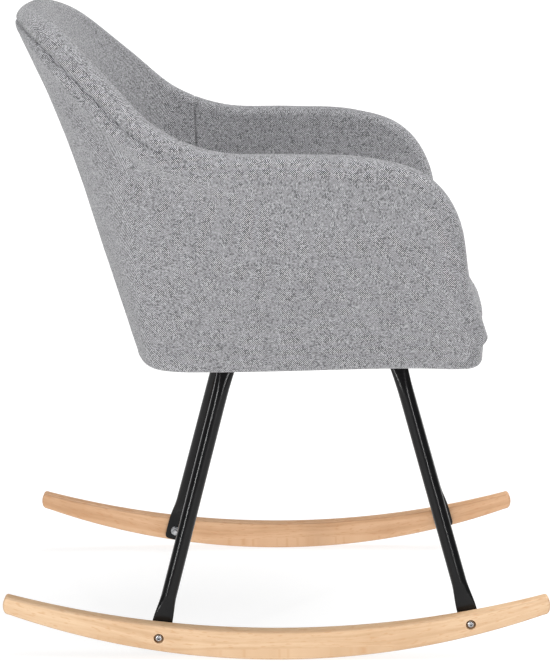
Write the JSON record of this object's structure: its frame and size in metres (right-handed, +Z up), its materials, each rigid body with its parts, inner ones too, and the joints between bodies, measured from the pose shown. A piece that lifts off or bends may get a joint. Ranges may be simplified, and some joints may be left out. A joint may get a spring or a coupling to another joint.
{
  "type": "rocking chair",
  "caption": "Upholstered tub rocking chair: curved fabric shell with arms, seat cushion, splayed black tube legs bolted to curved wooden rockers.",
  "frame": {"origin": "on the floor, midway between the two rockers and midway along them", "axes": "+Z up, +X towards the sitter's left, -Y towards the front of the chair"},
  "size_m": [0.6228, 0.6788, 0.7996],
  "materials": {
    "beech": "satin",
    "black_powder_coat": "gloss",
    "zinc_steel": "satin",
    "grey_fabric": "matte",
    "plywood": "matte",
    "moulded_shell": "matte",
    "black_cloth": "matte"
  },
  "bodies": {
    "root": {"rocker_left": "beech", "rocker_right": "beech", "leg_front_left": "black_powder_coat", "leg_front_right": "black_powder_coat", "leg_rear_left": "black_powder_coat", "leg_rear_right": "black_powder_coat", "rocker_bolt_front_left": "zinc_steel", "rocker_washer_front_left": "zinc_steel", "rocker_nut_front_left": "zinc_steel", "rocker_bolt_front_right": "zinc_steel", "rocker_washer_front_right": "zinc_steel", "rocker_nut_front_right": "zinc_steel", "rocker_bolt_rear_left": "zinc_steel", "rocker_washer_rear_left": "zinc_steel", "rocker_nut_rear_left": "zinc_steel", "rocker_bolt_rear_right": "zinc_steel", "rocker_washer_rear_right": "zinc_steel", "rocker_nut_rear_right": "zinc_steel", "seat_screw_front_left_1": "zinc_steel", "seat_washer_front_left_1": "zinc_steel", "tee_nut_front_left_1": "zinc_steel", "seat_screw_front_left_2": "zinc_steel", "seat_washer_front_left_2": "zinc_steel", "tee_nut_front_left_2": "zinc_steel", "seat_screw_front_right_1": "zinc_steel", "seat_washer_front_right_1": "zinc_steel", "tee_nut_front_right_1": "zinc_steel", "seat_screw_front_right_2": "zinc_steel", "seat_washer_front_right_2": "zinc_steel", "tee_nut_front_right_2": "zinc_steel", "seat_screw_rear_left_1": "zinc_steel", "seat_washer_rear_left_1": "zinc_steel", "tee_nut_rear_left_1": "zinc_steel", "seat_screw_rear_left_2": "zinc_steel", "seat_washer_rear_left_2": "zinc_steel", "tee_nut_rear_left_2": "zinc_steel", "seat_screw_rear_right_1": "zinc_steel", "seat_washer_rear_right_1": "zinc_steel", "tee_nut_rear_right_1": "zinc_steel", "seat_screw_rear_right_2": "zinc_steel", "seat_washer_rear_right_2": "zinc_steel", "tee_nut_rear_right_2": "zinc_steel", "outer_pad": "grey_fabric", "inner_back_pad": "grey_fabric", "inner_arm_pad_left": "grey_fabric", "inner_arm_pad_right": "grey_fabric", "front_band": "grey_fabric", "seat_cushion": "grey_fabric", "shell_frame": "moulded_shell", "seat_board": "plywood", "dust_cover": "black_cloth"}
  },
  "joints": []
}
